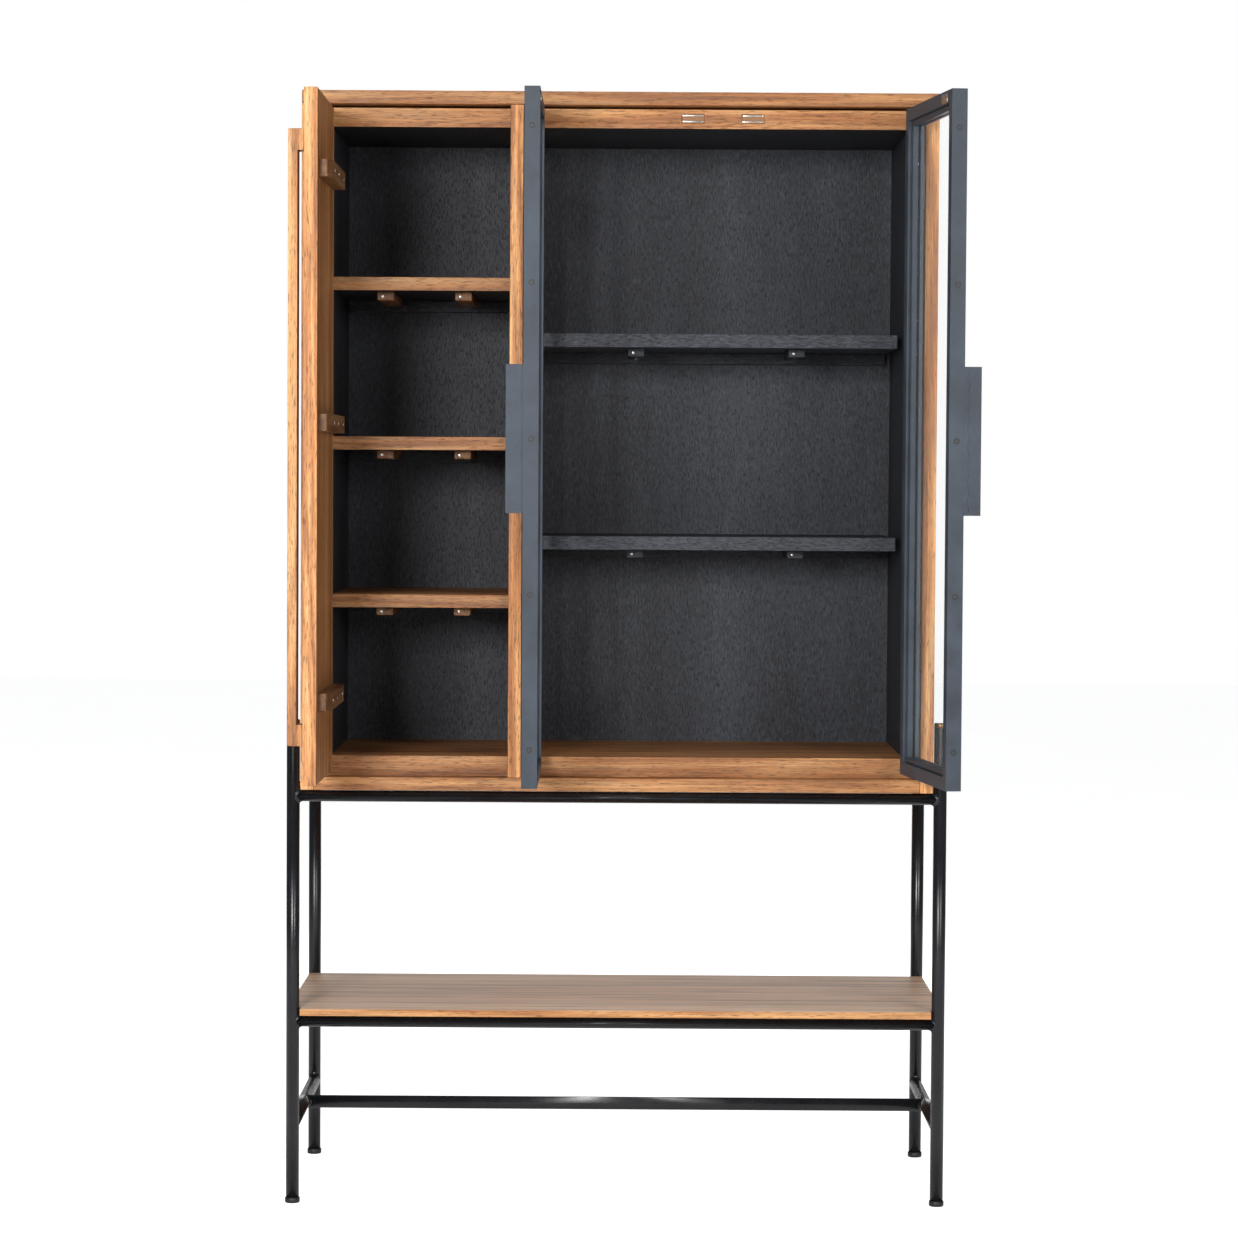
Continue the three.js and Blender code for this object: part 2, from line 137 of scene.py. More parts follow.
def grain(shader, axis, seed):
    """Growth rings cut through by the board's face, and fine fibres and short pores along one axis."""
    offset = (seed * 1.37, seed * 0.73, seed * 2.11)
    field = shader.noise(shader.coordinates(along(axis, 0.55, 9.0), offset), detail=1.6, distortion=0.25)
    rings = shader.math("SINE", shader.math("MULTIPLY", field, 95.0))
    cloud = shader.noise(
        shader.coordinates(along(axis, 1.6, 46.0), offset), detail=5.0, roughness=0.66, distortion=0.5
    )
    figure = shader.math("ADD", cloud, shader.math("MULTIPLY", rings, 0.055))
    fibres = shader.noise(shader.coordinates(along(axis, 8.0, 340.0), offset), detail=4.0, roughness=0.75)
    pores = shader.noise(shader.coordinates(along(axis, 55.0, 620.0), offset), detail=2.0, roughness=0.5)
    return figure, fibres, pores


def grey(shader, value):
    return shader.node("ShaderNodeCombineColor", {0: value, 1: value, 2: value}).outputs[0]


def staves(shader, across, width, seed):
    """A random value for each stave that a board is glued up from."""
    place = shader.node("ShaderNodeTexCoord").outputs["Object"]
    parts = shader.node("ShaderNodeSeparateXYZ", {0: place})
    stave = shader.math("FLOOR", shader.math("DIVIDE", parts.outputs["XYZ".index(across)], width))
    number = shader.math("ADD", stave, seed)
    return shader.node("ShaderNodeTexWhiteNoise", {"W": number}, noise_dimensions="1D").outputs["Value"]


def facing(shader, axis):
    """How far a face looks along +axis at rest, from -1 to +1."""
    normal = shader.node("ShaderNodeTexCoord").outputs["Normal"]
    return shader.node("ShaderNodeSeparateXYZ", {0: normal}).outputs["XYZ".index(axis)]


TEAK_TONES = ((0.32, "84512b"), (0.45, "a66b3b"), (0.55, "bc834f"), (0.68, "cc9864"))
# Near-black for the faces that look down.
UNDERSIDE_BLACK = "18191c"
# Pale colour of a painted sheen on tops.
PAINTED_SHEEN = "dcbc9f"
KNOT = "3a200f"


def teak(axis, across, width=0.075, seed=0.0, tone=1.0, edge=1.0, black_under=False, painted_sheen_top=False):
    """Oiled teak. Faces that look forward may get a painted highlight, faces that look down may be painted
    near-black, and a top may be made pale by a painted sheen.
    """
    shader = Shader(f"teak_{seed:g}")
    figure, fibres, pores = grain(shader, axis, seed)
    stave = staves(shader, across, width, seed)
    figure = shader.math("ADD", figure, shader.range(stave, 0.0, 1.0, -0.05, 0.05))
    base = shader.ramp(figure, [(place, linear(code)) for place, code in TEAK_TONES])
    base = shader.mix(1.0, base, grey(shader, shader.range(fibres, 0.36, 0.64, 0.66, 1.20)), "MULTIPLY")
    pore = shader.range(pores, 0.57, 0.66, 0.0, 0.6)
    base = shader.mix(pore, base, linear("40230f"))
    cell = shader.node("ShaderNodeTexVoronoi", {"Vector": shader.coordinates(along(axis, 1.7, 8.0)), "Scale": 1.0})
    knot = shader.range(cell.outputs["Distance"], 0.035, 0.075, 0.75, 0.0)
    base = shader.mix(knot, base, linear(KNOT))
    base = shader.mix(
        1.0, base, grey(shader, shader.range(stave, 0.0, 1.0, 0.88 * tone, 1.08 * tone)), "MULTIPLY"
    )
    # Painted highlight: the edge factor brightens the faces that look forward.
    if edge != 1.0:
        front = shader.range(facing(shader, "Y"), -0.8, -0.6, 1.0, 0.0)
        painted_front_highlight = shader.mix(1.0, base, [edge, edge * 1.06, edge * 1.12, 1.0], "MULTIPLY")
        base = shader.mix(front, base, painted_front_highlight)
    # Painted sheen: faces that look up are made pale, and the grain's streaks are kept.
    if painted_sheen_top:
        top = shader.range(facing(shader, "Z"), 0.5, 0.7, 0.0, 0.85)
        streak = shader.range(figure, 0.36, 0.58, 0.66, 1.10)
        pale = shader.mix(1.0, linear(PAINTED_SHEEN), grey(shader, streak), "MULTIPLY")
        base = shader.mix(top, base, pale)
    # Faces that look down are painted near-black.
    if black_under:
        under = shader.range(facing(shader, "Z"), -0.8, -0.5, 1.0, 0.0)
        base = shader.mix(under, base, linear(UNDERSIDE_BLACK))
    shader.wire("Base Color", base)
    shader.wire("Roughness", shader.range(fibres, 0.35, 0.65, 0.44, 0.62))
    shader.wire("Specular IOR Level", 0.4)
    height = shader.math("SUBTRACT", shader.math("MULTIPLY", fibres, 0.6), shader.math("MULTIPLY", pore, 0.9))
    shader.bump(height, 0.5, 0.0008)
    return shader.material


def black_wood(axis, across, width=0.13, seed=0.0, tone=1.0):
    """Black-stained wood with its fine grain still to be seen."""
    shader = Shader(f"black_wood_{seed:g}")
    offset = (seed * 1.9, seed * 0.6, seed * 2.7)
    cloud = shader.noise(shader.coordinates(along(axis, 2.0, 12.0), offset), detail=3.0, roughness=0.6)
    fibres = shader.noise(shader.coordinates(along(axis, 70.0, 300.0), offset), detail=4.0, roughness=0.85)
    pores = shader.noise(shader.coordinates(along(axis, 110.0, 520.0), offset), detail=2.0, roughness=0.6)
    stave = staves(shader, across, width, seed)
    base = shader.ramp(cloud, ((0.38, linear("28292e")), (0.62, linear("35373d"))))
    base = shader.mix(shader.range(fibres, 0.46, 0.68, 0.0, 0.42), base, linear("666a74"))
    pore = shader.range(pores, 0.54, 0.66, 0.0, 0.7)
    base = shader.mix(pore, base, linear("0b0c0e"))
    base = shader.mix(
        1.0, base, grey(shader, shader.range(stave, 0.0, 1.0, 0.9 * tone, 1.06 * tone)), "MULTIPLY"
    )
    shader.wire("Base Color", base)
    shader.wire("Roughness", shader.range(fibres, 0.3, 0.7, 0.42, 0.62))
    shader.wire("Specular IOR Level", 0.25)
    shader.bump(shader.math("SUBTRACT", fibres, pore), 0.5, 0.0008)
    return shader.material


def metal(name, dark, light, roughness, metallic, mottling=14.0, fine=260.0, strength=0.12, specular=0.5):
    """Finished metal: cloudy colour, fine orange-peel and varying gloss."""
    shader = Shader(name)
    place = shader.coordinates()
    cloud = shader.noise(place, mottling, 4.0, 0.6)
    peel = shader.noise(place, fine, 2.0, 0.5)
    shader.wire("Base Color", shader.ramp(cloud, ((0.35, linear(dark)), (0.68, linear(light)))))
    shader.wire("Metallic", metallic)
    shader.wire("Roughness", shader.range(cloud, 0.3, 0.7, roughness - 0.06, roughness + 0.08))
    shader.wire("Specular IOR Level", specular)
    shader.bump(peel, strength, 0.0004)
    return shader.material


def clear_glass():
    shader = Shader("clear_glass")
    smudge = shader.noise(shader.coordinates(), 6.0, 3.0)
    shader.wire("Base Color", shader.ramp(smudge, ((0.3, linear("e6efed")), (0.7, linear("f1f6f5")))))
    shader.wire("Roughness", shader.range(smudge, 0.3, 0.7, 0.01, 0.04))
    shader.wire("Alpha", 0.05)
    shader.wire("IOR", 1.5)
    return shader.material


def moulded_plastic(name, dark, light):
    shader = Shader(name)
    speckle = shader.noise(shader.coordinates(), 900.0, 2.0)
    shader.wire("Base Color", shader.ramp(speckle, ((0.3, linear(dark)), (0.7, linear(light)))))
    shader.wire("Roughness", shader.range(speckle, 0.3, 0.7, 0.45, 0.6))
    shader.bump(speckle, 0.2, 0.0002)
    return shader.material


TEAK_TOP = teak("X", "Y", 0.11, 1.0, 0.86)
TEAK_RAIL = teak("X", "Z", 0.06, 2.0, 0.87)
# An edge factor above 1 paints a highlight on the faces that look forward.
TEAK_DOOR = teak("Z", "Y", 0.08, 3.0, 0.88, edge=1.95)
TEAK_HANDLE = teak("Z", "Y", 0.08, 10.0, 0.95, edge=1.35)
TEAK_SIDE = teak("Z", "Y", 0.12, 4.0, 1.12, edge=1.15)
TEAK_DIVIDER = teak("Z", "Y", 0.09, 5.0, 1.0, edge=1.7)
TEAK_SHELF = teak("X", "Y", 0.09, 6.0, 0.72, black_under=True)
TEAK_CEILING = teak("X", "Y", 0.09, 7.0, 0.95, black_under=True)
# The lower shelf's top is made pale by a painted sheen.
TEAK_LOWER = teak("X", "Y", 0.055, 8.0, 1.0, painted_sheen_top=True)
TEAK_BATTEN = teak("Y", "Z", 0.06, 9.0, 0.36)
BLACK_BACK = black_wood("Z", "X", 0.16, 1.0, 0.9)
BLACK_SIDE = black_wood("Z", "Y", 0.12, 2.0, 0.8)
BLACK_SHELF = black_wood("X", "Y", 0.1, 3.0, 1.1)
BLACK_CLEAT = black_wood("X", "Z", 0.1, 4.0, 0.7)
BLACK_STEEL = metal("black_steel", "131417", "1b1c20", 0.25, 0.0, 14.0, 300.0, 0.02, 0.4)
GREY_STEEL = metal("grey_steel", "333941", "444c56", 0.46, 0.0, 11.0, 240.0, 0.3, 0.25)
DARK_STEEL = metal("dark_steel", "26292d", "3a3e44", 0.4, 0.2, 60.0, 500.0, 0.08)
BRIGHT_STEEL = metal("bright_steel", "a9a8a4", "cdccc8", 0.28, 1.0, 30.0, 500.0, 0.06)
# The bronze-brown of the leg caps is a painted reflection of the teak above them.
CAP_TEAK_REFLECTION = metal("bronze", "6b4f33", "8d6d4a", 0.25, 1.0, 60.0, 500.0, 0.06)
CLEAR_GLASS = clear_glass()
PLASTIC = moulded_plastic("moulded_plastic", "101010", "1c1c1d")
CATCH_BROWN = moulded_plastic("catch_brown", "7d5331", "96673f")


def finish_of(name):
    """The material of a CAD node, by its name."""
    exact = {
        "top_board": TEAK_TOP,
        "bottom_board": TEAK_RAIL,
        "divider": TEAK_DIVIDER,
        "back_panel": BLACK_BACK,
        "lower_shelf": TEAK_LOWER,
        "left_door_panel": TEAK_DOOR,
        "left_door_handle": TEAK_HANDLE,
    }
    if name in exact:
        return exact[name]
    starts = (
        ("leg_cap", CAP_TEAK_REFLECTION),
        ("leg", BLACK_STEEL),
        ("glide", PLASTIC),
        ("top_rail", BLACK_STEEL),
        ("shelf_rail", BLACK_STEEL),
        ("stretcher", BLACK_STEEL),
        ("side_board", TEAK_SIDE),
        ("inner_side", BLACK_SIDE),
        ("floor_board", TEAK_RAIL),
        ("ceiling_board", TEAK_CEILING),
        ("left_shelf", TEAK_SHELF),
        ("right_shelf", BLACK_SHELF),
        ("left_door_batten", TEAK_BATTEN),
        ("magnetic_catch", CATCH_BROWN),
    )
    for start, material in starts:
        if name.startswith(start):
            return material
    if "_hinge_" in name:
        return DARK_STEEL
    if name.endswith("_glass"):
        return CLEAR_GLASS
    return GREY_STEEL


def edge_radius(name):
    """How far a CAD node's arrises are eased."""
    if name.startswith(("leg", "glide", "top_rail", "shelf_rail", "stretcher")):
        return 0.0
    if "_hinge_" in name or name.startswith("magnetic_catch"):
        return 0.2 * MM
    if name.endswith(("_frame", "_glass", "_handle")) and not name.startswith("left_door"):
        return 0.5 * MM
    return 1.1 * MM


for name, cad in nodes.items():
    cad.data.materials.clear()
    cad.data.materials.append(finish_of(name))
    weld = cad.modifiers.new("join_vertices", "WELD")
    weld.merge_threshold = 0.00002
    radius = edge_radius(name)
    if radius:
        bevel = cad.modifiers.new("eased_edges", "BEVEL")
        bevel.width = radius
        bevel.segments = 3
        bevel.limit_method = "ANGLE"
        bevel.angle_limit = math.radians(40)
        flat = cad.modifiers.new("flat_faces", "WEIGHTED_NORMAL")
        flat.keep_sharp = True
    for face in cad.data.polygons:
        face.use_smooth = True
    cad.data.set_sharp_from_angle(angle=math.radians(35))


# ---------------------------------------------------------------- mesh helpers


def piece_from(mesh_maker, name, material, body, place=Matrix.Identity(4)):
    """Makes a piece from a bmesh, finishes it and lets it ride on a body."""
    mesh = bpy.data.meshes.new(name)
    shape = bmesh.new()
    mesh_maker(shape)
    bmesh.ops.transform(shape, matrix=place, verts=shape.verts)
    bmesh.ops.recalc_face_normals(shape, faces=shape.faces)
    shape.to_mesh(mesh)
    shape.free()
    for face in mesh.polygons:
        face.use_smooth = True
    mesh.set_sharp_from_angle(angle=math.radians(35))
    mesh.materials.append(material)
    made = bpy.data.objects.new(name, mesh)
    scene.collection.objects.link(made)
    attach(made, body)
    return made


def eased_box(low, high, radius):
    """A box between two corners with rounded arrises."""

    def make(shape):
        bmesh.ops.create_cube(shape, size=1.0)
        size = Vector(high) - Vector(low)
        centre = (Vector(high) + Vector(low)) / 2
        bmesh.ops.scale(shape, vec=size, verts=shape.verts)
        bmesh.ops.translate(shape, vec=centre, verts=shape.verts)
        bmesh.ops.bevel(
            shape, geom=shape.edges[:], offset=radius, segments=3, profile=0.5, affect="EDGES"
        )

    return make


def loft(shape, rings, close_ends=True):
    """Joins rings of points, each with the same number of points, into a closed skin."""
    made = [[shape.verts.new(p) for p in ring] for ring in rings]
    count = len(made[0])
    for lower, upper in zip(made, made[1:]):
        for i in range(count):
            j = (i + 1) % count
            shape.faces.new((lower[i], lower[j], upper[j], upper[i]))
    if close_ends:
        shape.faces.new(list(reversed(made[0])))
        shape.faces.new(made[-1])


def skin_ring(shape, rings):
    """Joins rings of points into a skin that closes on itself both ways, as on a torus."""
    made = [[shape.verts.new(p) for p in ring] for ring in rings]
    count = len(made[0])
    for lower, upper in zip(made, made[1:] + made[:1]):
        for i in range(count):
            j = (i + 1) % count
            shape.faces.new((lower[i], lower[j], upper[j], upper[i]))


def circle(radius, z, count=48):
    turns = [2 * math.pi * i / count for i in range(count)]
    return [(radius * math.cos(turn), radius * math.sin(turn), z) for turn in turns]


def cross(radius, z, count=48):
    """A rounded four-armed outline, the mouth of a cross recess."""
    points = []
    for i in range(count):
        turn = 2 * math.pi * i / count
        arm = max(abs(math.cos(turn)), abs(math.sin(turn))) ** 14
        reach = radius * (0.22 + 0.5 * arm)
        points.append((reach * math.cos(turn), reach * math.sin(turn), z))
    return points


def screw_head(radius, proud):
    """A countersunk screw head that looks along +Z, with a cross recess."""

    def make(shape):
        rings = [
            circle(radius * 0.6, -radius * 0.5),
            circle(radius, -radius * 0.08),
            circle(radius, 0.0),
            circle(radius * 0.94, proud * 0.8),
            circle(radius * 0.78, proud),
            cross(radius, proud),
            cross(radius * 0.75, proud - radius * 0.5),
        ]
        loft(shape, rings)

    return make


def hole_shade_ring(inner, outer, proud):
    """A near-black ring round a screw head, along +Z: painted shade in the hole round the head."""

    def make(shape):
        rings = [
            circle(inner, -0.3 * MM),
            circle(outer, -0.3 * MM),
            circle(outer, proud * 0.5),
            circle((inner + outer) / 2, proud),
            circle(inner, proud * 0.4),
        ]
        skin_ring(shape, rings)

    return make


# ---------------------------------------------------------------- tube stand


def tube_axis(node):
    """Centre line of a straight tube node: middle point, radius across its thinnest side."""
    low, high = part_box(node)
    return (low + high) / 2, min(high - low) / 2


WELD_SIZE = 5 * MM
WELD_STEPS = 48


def weld_fillet(name, centre, direction, upright, bar_radius, main_radius):
    """A hollow fillet where a round bar meets the side of a round tube.

    centre is where their centre lines cross, direction runs out along the bar and upright along the tube.
    """
    side = upright.cross(direction)

    def on_tube(reach_out, turn):
        across = max(-0.94 * main_radius, min(0.94 * main_radius, reach_out * math.cos(turn)))
        depth = math.sqrt(main_radius**2 - across**2)
        return centre + direction * depth + side * across + upright * (reach_out * math.sin(turn))

    def make(shape):
        rings = [[] for _ in range(6)]
        for i in range(WELD_STEPS):
            turn = 2 * math.pi * i / WELD_STEPS
            size = WELD_SIZE * (0.3 + 0.7 * math.sin(turn) ** 2) * (1 + 0.08 * math.sin(9 * turn + 1.0))
            foot = on_tube(bar_radius + size, turn)
            corner = on_tube(bar_radius, turn)
            around = side * math.cos(turn) + upright * math.sin(turn)
            length = (corner - centre).dot(direction) + size
            lip = centre + direction * length + around * bar_radius
            inside = centre + direction * (length - 2 * size) + around * (bar_radius * 0.8)
            rings[0].append(foot)
            for number, share in enumerate((0.25, 0.5, 0.75)):
                stay = 1 - share
                rings[number + 1].append(
                    foot * stay**2 + corner * (2 * share * stay) + lip * share**2 + around * (0.25 * MM)
                )
            rings[4].append(lip)
            rings[5].append(inside)
        skin_ring(shape, rings)

    piece_from(make, name, BLACK_STEEL, "root")


UP = Vector((0, 0, 1))
BACK = Vector((0, 1, 0))
RIGHT = Vector((1, 0, 0))


def weld_stand():
    for side, inward in (("left", RIGHT), ("right", -RIGHT)):
        for end, rearward in (("front", BACK), ("rear", -BACK)):
            leg, leg_radius = tube_axis(f"leg_{end}_{side}")
            for ring in ("top", "shelf"):
                rail, rail_radius = tube_axis(f"{ring}_rail_{end}")
                joint = Vector((leg.x, leg.y, rail.z))
                weld_fillet(f"weld_{ring}_{end}_{side}_x", joint, inward, UP, rail_radius, leg_radius)
                weld_fillet(f"weld_{ring}_{end}_{side}_y", joint, rearward, UP, rail_radius, leg_radius)
            bar, bar_radius = tube_axis(f"stretcher_{side}")
            joint = Vector((leg.x, leg.y, bar.z))
            weld_fillet(f"weld_stretcher_{end}_{side}", joint, rearward, UP, bar_radius * 0.97, leg_radius)
        centre, centre_radius = tube_axis("stretcher_centre")
        joint = Vector((bar.x, centre.y, bar.z))
        weld_fillet(f"weld_stretcher_centre_{side}", joint, inward, BACK, centre_radius * 0.97, bar_radius)


weld_stand()


# ---------------------------------------------------------------- shelf cleats and battens

CLEAT_H = 19.5 * MM
CLEAT_T = 18 * MM
BATTEN_W = 28 * MM
BATTEN_H = 14 * MM
SCREW_R = 2.1 * MM
LOOK_FRONT = Matrix.Rotation(math.radians(90), 4, "X")
LOOK_BACK = Matrix.Rotation(math.radians(-90), 4, "X")
LOOK_DOWN = Matrix.Rotation(math.pi, 4, "X")


def shelf_supports(shelf, wood):
    """A cleat on the back under the shelf, and two short battens under the shelf, screwed from the front."""
    low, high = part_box(shelf)
    under = low.z - 0.2 * MM
    rear = high.y
    piece_from(
        eased_box(
            (low.x + 1 * MM, rear - CLEAT_T, under - CLEAT_H), (high.x - 1 * MM, rear, under), 0.8 * MM
        ),
        f"{shelf}_cleat",
        BLACK_CLEAT,
        "root",
    )
    front = low.y + 42 * MM
    back = rear - CLEAT_T - 60 * MM
    for number, share in enumerate((0.29, 0.73)):
        x = low.x + (high.x - low.x) * share
        name = f"{shelf}_batten_{number + 1}"
        corners = (x - BATTEN_W / 2, front, under - BATTEN_H), (x + BATTEN_W / 2, back, under)
        piece_from(eased_box(*corners, 1.2 * MM), name, wood, "root")
        head = screw_head(SCREW_R, 0.5 * MM)
        place = Matrix.Translation((x - 5 * MM, front, under - BATTEN_H * 0.55)) @ LOOK_FRONT
        piece_from(head, f"{name}_screw_front", BRIGHT_STEEL, "root", place)
        for label, y in (("middle", (front + back) / 2), ("rear", back - 14 * MM)):
            place = Matrix.Translation((x, y, under - BATTEN_H)) @ LOOK_DOWN
            piece_from(head, f"{name}_screw_{label}", BRIGHT_STEEL, "root", place)


for index in (1, 2, 3):
    shelf_supports(f"left_shelf_{index}", TEAK_BATTEN)
for index in (1, 2):
    shelf_supports(f"right_shelf_{index}", BLACK_CLEAT)


# ---------------------------------------------------------------- doors

joints = {joint["name"]: joint for joint in frame["joints"]}


def door_place(door, reach):
    """Matrix from the door drawn closed about its hinge axis to where it stands open."""
    joint = joints[f"{door}_hinge"]
    low, high = joint["range_deg"]
    opened = -high if reach > 0 else -low
    x, y, _ = joint["pos_m"]
    return Matrix.Translation((x, y, 0)) @ Matrix.Rotation(math.radians(opened), 4, "Z")


def local_box(door, node):
    """A node of a door at 90 degrees as (low, high) corners in the door's closed frame."""
    x, y, _ = joints[f"{door}_hinge"]["pos_m"]
    low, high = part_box(node)
    return Vector((y - high.y, low.x - x, low.z)), Vector((y - low.y, high.x - x, high.z))


LEAF_T = 1.2 * MM
LEAF_W = 22 * MM


def moving_leaves(door, reach, panel_low):
    """The hinge leaves screwed to the door's hinge edge."""
    place = door_place(door, reach)
    for level in ("top", "bottom"):
        low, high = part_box(f"{door}_hinge_{level}")
        edge = reach * panel_low.x
        inner = edge - 0.1 * MM
        outer = inner - LEAF_T
        corners = sorted((reach * inner, reach * outer))
        piece_from(
            eased_box(
                (corners[0], panel_low.y + 1 * MM, low.z),
                (corners[1], panel_low.y + LEAF_W, high.z),
                0.3 * MM,
            ),
            f"{door}_leaf_{level}",
            DARK_STEEL,
            door,
            place,
        )


def edge_screws(door, reach, low, high):
    """Screws sunk in the free edge of a glazed door, each in a near-black ring of painted shade round its head."""
    place = door_place(door, reach)
    middle = (low.z + high.z) / 2
    y = (low.y + high.y) / 2
    turn = Matrix.Rotation(math.radians(90 * reach), 4, "Y")
    for index, offset in enumerate((-490, -245, 0, 245, 490)):
        spot = Matrix.Translation((reach * high.x, y, middle + offset * MM))
        # The ring is painted shade, made in the dark plastic material.
        hole_shade = hole_shade_ring(2.4 * MM, 5.0 * MM, 0.2 * MM)
        name = f"{door}_edge_screw_{index + 1}"
        piece_from(hole_shade, f"{name}_rim", PLASTIC, door, place @ spot @ turn)
        piece_from(
            screw_head(2.4 * MM, 0.15 * MM), name, DARK_STEEL, door, place @ spot @ turn
        )


def glazing_bead(door, reach, low, high, glass_rear):
    """A steel bead that holds the glass in the frame from inside, mitred at its corners."""
    place = door_place(door, reach)
    face = 21.6 * MM
    width = 8.5 * MM
    front = glass_rear + 0.3 * MM
    rear = front + 9 * MM

    def make(shape):
        outer = (low.x + face, high.x - face, low.z + face, high.z - face)

        def ring(inset, y):
            left, right, bottom, top = outer
            xs = (left + inset, right - inset)
            zs = (bottom + inset, top - inset)
            return [
                (reach * xs[0], y, zs[0]),
                (reach * xs[1], y, zs[0]),
                (reach * xs[1], y, zs[1]),
                (reach * xs[0], y, zs[1]),
            ]

        rings = [
            ring(0, front),
            ring(width, front),
            ring(width, rear - 1.2 * MM),
            ring(width - 1.2 * MM, rear),
            ring(0.6 * MM, rear),
            ring(0, rear - 0.6 * MM),
        ]
        made = [[shape.verts.new(p) for p in r] for r in rings]
        for a, b in zip(made, made[1:] + made[:1]):
            for i in range(4):
                j = (i + 1) % 4
                shape.faces.new((a[i], a[j], b[j], b[i]))

    piece_from(make, f"{door}_glazing_bead", GREY_STEEL, door, place)


def strike_plate(door, reach, low, high):
    """The thin plate on the top rail that the magnet holds."""
    place = door_place(door, reach)
    centre_x = high.x - 50.5 * MM
    top = high.z - 3.5 * MM
    xs = sorted((reach * (centre_x - 18 * MM), reach * (centre_x + 18 * MM)))
    piece_from(
        eased_box((xs[0], high.y + 0.1 * MM, top - 16 * MM), (xs[1], high.y + 0.9 * MM, top), 0.3 * MM),
        f"{door}_strike_plate",
        BRIGHT_STEEL,
        door,
        place,
    )
    for index, side in enumerate((-1, 1)):
        head = screw_head(2.0 * MM, 0.15 * MM)
        spot = Matrix.Translation((reach * (centre_x + side * 11 * MM), high.y + 0.9 * MM, top - 8 * MM))
        name = f"{door}_strike_screw_{index + 1}"
        piece_from(head, name, BLACK_STEEL, door, place @ spot @ LOOK_BACK)


def handle_weld(door, reach, lump):
    """The uneven weld over the seam between the frame's edge and the handle plate, lump high."""
    place = door_place(door, reach)
    low, high = local_box("middle_door", "middle_door_handle")
    steps = 90

    def make(shape):
        rings = []
        for i in range(steps + 1):
            share = i / steps
            z = low.z + 4 * MM + (high.z - low.z - 8 * MM) * share
            swell = 0.55 + 0.45 * math.sin(i * 0.83 + math.sin(i * 0.31) * 2.0)
            outer = high.y - (7.5 + 1.6 * math.sin(i * 0.57) + 0.8 * math.sin(i * 1.9)) * MM
            inner = high.y + (1.5 + 0.6 * math.sin(i * 0.71 + 2.0)) * MM
            top = lump * swell
            ring = []
            for y_share, rise in ((0.0, -0.4 * MM), (0.12, top * 0.75), (0.35, top), (0.7, top * 0.6), (1.0, -0.4 * MM)):
                ring.append((reach * (high.x + rise), outer + (inner - outer) * y_share, z))
            ring.append((reach * (high.x - 1.2 * MM), (outer + inner) / 2, z))
            rings.append(ring)
        loft(shape, rings)

    piece_from(make, f"{door}_handle_weld", GREY_STEEL, door, place)


def glazed_door(door, reach, lump):
    low, high = local_box("middle_door", "middle_door_frame")
    _, glass_high = local_box("middle_door", "middle_door_glass")
    edge_screws(door, reach, low, high)
    glazing_bead(door, reach, low, high, glass_high.y)
    strike_plate(door, reach, low, high)
    handle_weld(door, reach, lump)
    moving_leaves(door, reach, low)


def wood_door():
    low, high = local_box("left_door", "left_door_panel")
    moving_leaves("left_door", 1, low)
    place = door_place("left_door", 1)
    for index in (1, 2, 3):
        batten_low, batten_high = local_box("left_door", f"left_door_batten_{index}")
        z = (batten_low.z + batten_high.z) / 2
        for number, share in enumerate((0.12, 0.5, 0.8)):
            head = screw_head(3.2 * MM, 0.4 * MM)
            x = batten_low.x + (batten_high.x - batten_low.x) * share
            spot = Matrix.Translation((x, batten_high.y, z))
            piece_from(
                head,
                f"left_door_batten_{index}_screw_{number + 1}",
                BRIGHT_STEEL,
                "left_door",
                place @ spot @ LOOK_BACK,
            )


wood_door()
glazed_door("middle_door", 1, 0.3 * MM)
glazed_door("right_door", -1, 1.0 * MM)


# ---------------------------------------------------------------- magnetic catches


POLE_H = 2.4 * MM
POLE_GAP = 10 * MM


def catch_poles(side):
    """The two steel pole plates that show on the brown body of a magnetic catch."""
    low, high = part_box(f"magnetic_catch_{side}")
    middle = (low.z + high.z) / 2
    for label, z in (("lower", middle - POLE_GAP / 2), ("upper", middle + POLE_GAP / 2)):
        corners = (
            (low.x + 0.3 * MM, low.y - 0.2 * MM, z - POLE_H / 2),
            (high.x - 0.3 * MM, low.y + 2.0 * MM, z + POLE_H / 2),
        )
        name = f"catch_pole_{side}_{label}"
        piece_from(eased_box(*corners, 0.5 * MM), name, BRIGHT_STEEL, "root")


catch_poles("left")
catch_poles("right")


# ---------------------------------------------------------------- floor, light, camera


FLOOR_SEEN = 0.82
FLOOR_BOUNCE = 0.3


def floor():
    shader = Shader("pale_floor")
    cloud = shader.noise(shader.coordinates(), 1.5, 2.0)
    shader.wire("Base Color", shader.ramp(cloud, ((0.3, linear("f4f4f4")), (0.7, linear("fafafa")))))
    shader.wire("Roughness", 0.8)
    shader.wire("Specular IOR Level", 0.1)
    shader.wire("Emission Color", (1, 1, 1, 1))
    seen = shader.node("ShaderNodeLightPath").outputs["Is Camera Ray"]
    shader.wire("Emission Strength", shader.range(seen, 0.0, 1.0, FLOOR_BOUNCE, FLOOR_SEEN))
    mesh = bpy.data.meshes.new("floor")
    shape = bmesh.new()
    bmesh.ops.create_grid(shape, x_segments=8, y_segments=8, size=15.0)
    shape.to_mesh(mesh)
    shape.free()
    mesh.materials.append(shader.material)
    made = bpy.data.objects.new("floor", mesh)
    scene.collection.objects.link(made)
    made.location = (0, 0, -0.0005)


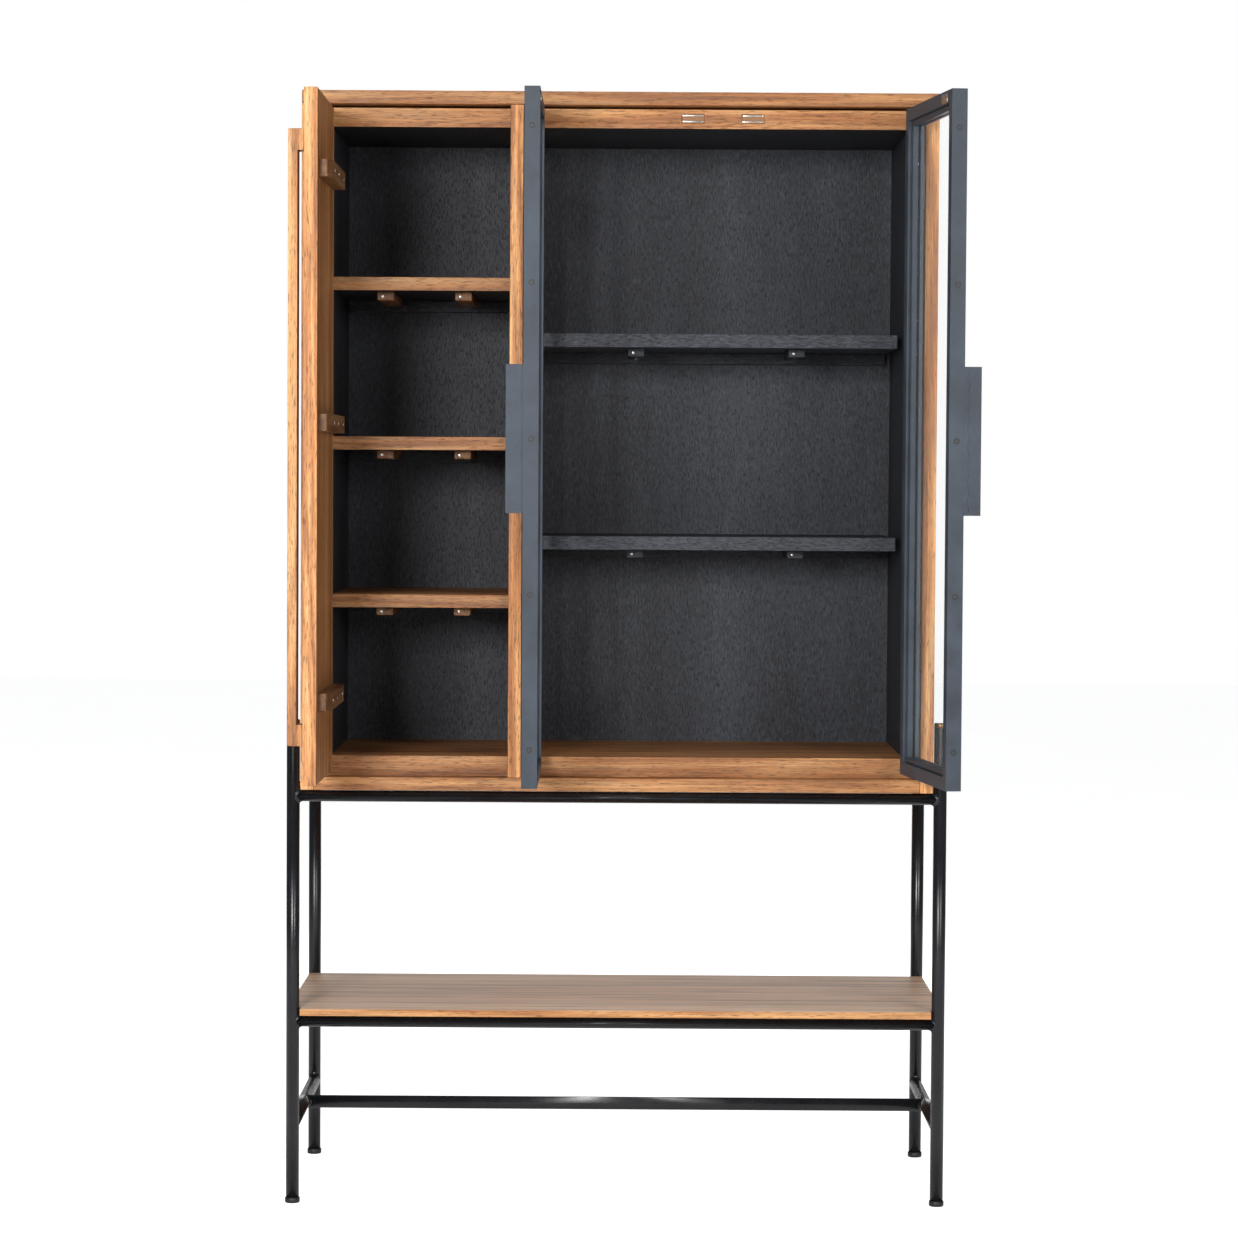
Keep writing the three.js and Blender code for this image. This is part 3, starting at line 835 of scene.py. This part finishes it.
def studio_world(seen, ambient):
    """White where the camera looks past the object, dimmer as a light."""
    world = bpy.data.worlds.new("studio")
    world.use_nodes = True
    tree = world.node_tree
    tree.nodes.clear()
    path = tree.nodes.new("ShaderNodeLightPath")
    white = tree.nodes.new("ShaderNodeBackground")
    white.inputs["Color"].default_value = (1, 1, 1, 1)
    white.inputs["Strength"].default_value = seen
    soft = tree.nodes.new("ShaderNodeBackground")
    soft.inputs["Color"].default_value = (0.96, 0.98, 1.0, 1)
    soft.inputs["Strength"].default_value = ambient
    mix = tree.nodes.new("ShaderNodeMixShader")
    out = tree.nodes.new("ShaderNodeOutputWorld")
    tree.links.new(path.outputs["Is Camera Ray"], mix.inputs[0])
    tree.links.new(soft.outputs[0], mix.inputs[1])
    tree.links.new(white.outputs[0], mix.inputs[2])
    tree.links.new(mix.outputs[0], out.inputs[0])
    scene.world = world


def area_light(name, place, target, size, power):
    data = bpy.data.lights.new(name, "AREA")
    data.shape = "RECTANGLE"
    data.size, data.size_y = size
    data.energy = power
    made = bpy.data.objects.new(name, data)
    scene.collection.objects.link(made)
    made.location = place
    aim = Vector(target) - Vector(place)
    made.rotation_euler = aim.to_track_quat("-Z", "Y").to_euler()


def camera(place, yaw, pitch, roll, lens):
    """A camera that looks along +Y when yaw and pitch are 0. Angles in degrees."""
    yaw, pitch, roll = (math.radians(a) for a in (yaw, pitch, roll))
    forward = Vector(
        (-math.sin(yaw) * math.cos(pitch), math.cos(yaw) * math.cos(pitch), math.sin(pitch))
    )
    level = Vector((math.cos(yaw), math.sin(yaw), 0))
    upright = level.cross(forward)
    right = level * math.cos(roll) + upright * math.sin(roll)
    up = upright * math.cos(roll) - level * math.sin(roll)
    data = bpy.data.cameras.new("camera")
    data.lens = lens
    data.sensor_width = 36
    data.clip_end = 60
    made = bpy.data.objects.new("camera", data)
    scene.collection.objects.link(made)
    turn = Matrix((right, up, -forward)).transposed().to_4x4()
    made.matrix_world = Matrix.Translation(place) @ turn
    scene.camera = made


scene.view_settings.view_transform = "Standard"
floor()
studio_world(1.0, 0.17)
area_light("left_softbox", (-1.55, -5.6, 2.0), (0, 0, 1.15), (1.1, 1.1), 225)
area_light("right_softbox", (2.9, -5.0, 2.0), (0, 0, 1.15), (1.3, 1.1), 100)
area_light("rear_softbox", (0.0, 3.4, 1.1), (0, 0, 0.4), (3.0, 0.9), 17)
area_light("top_softbox", (0.0, -0.6, 4.6), (0, 0, 1.2), (2.4, 1.6), 45)
camera((-0.00926, -5.93152, 1.22335), -0.03237, -2.33308, 0.34814, 102.518)
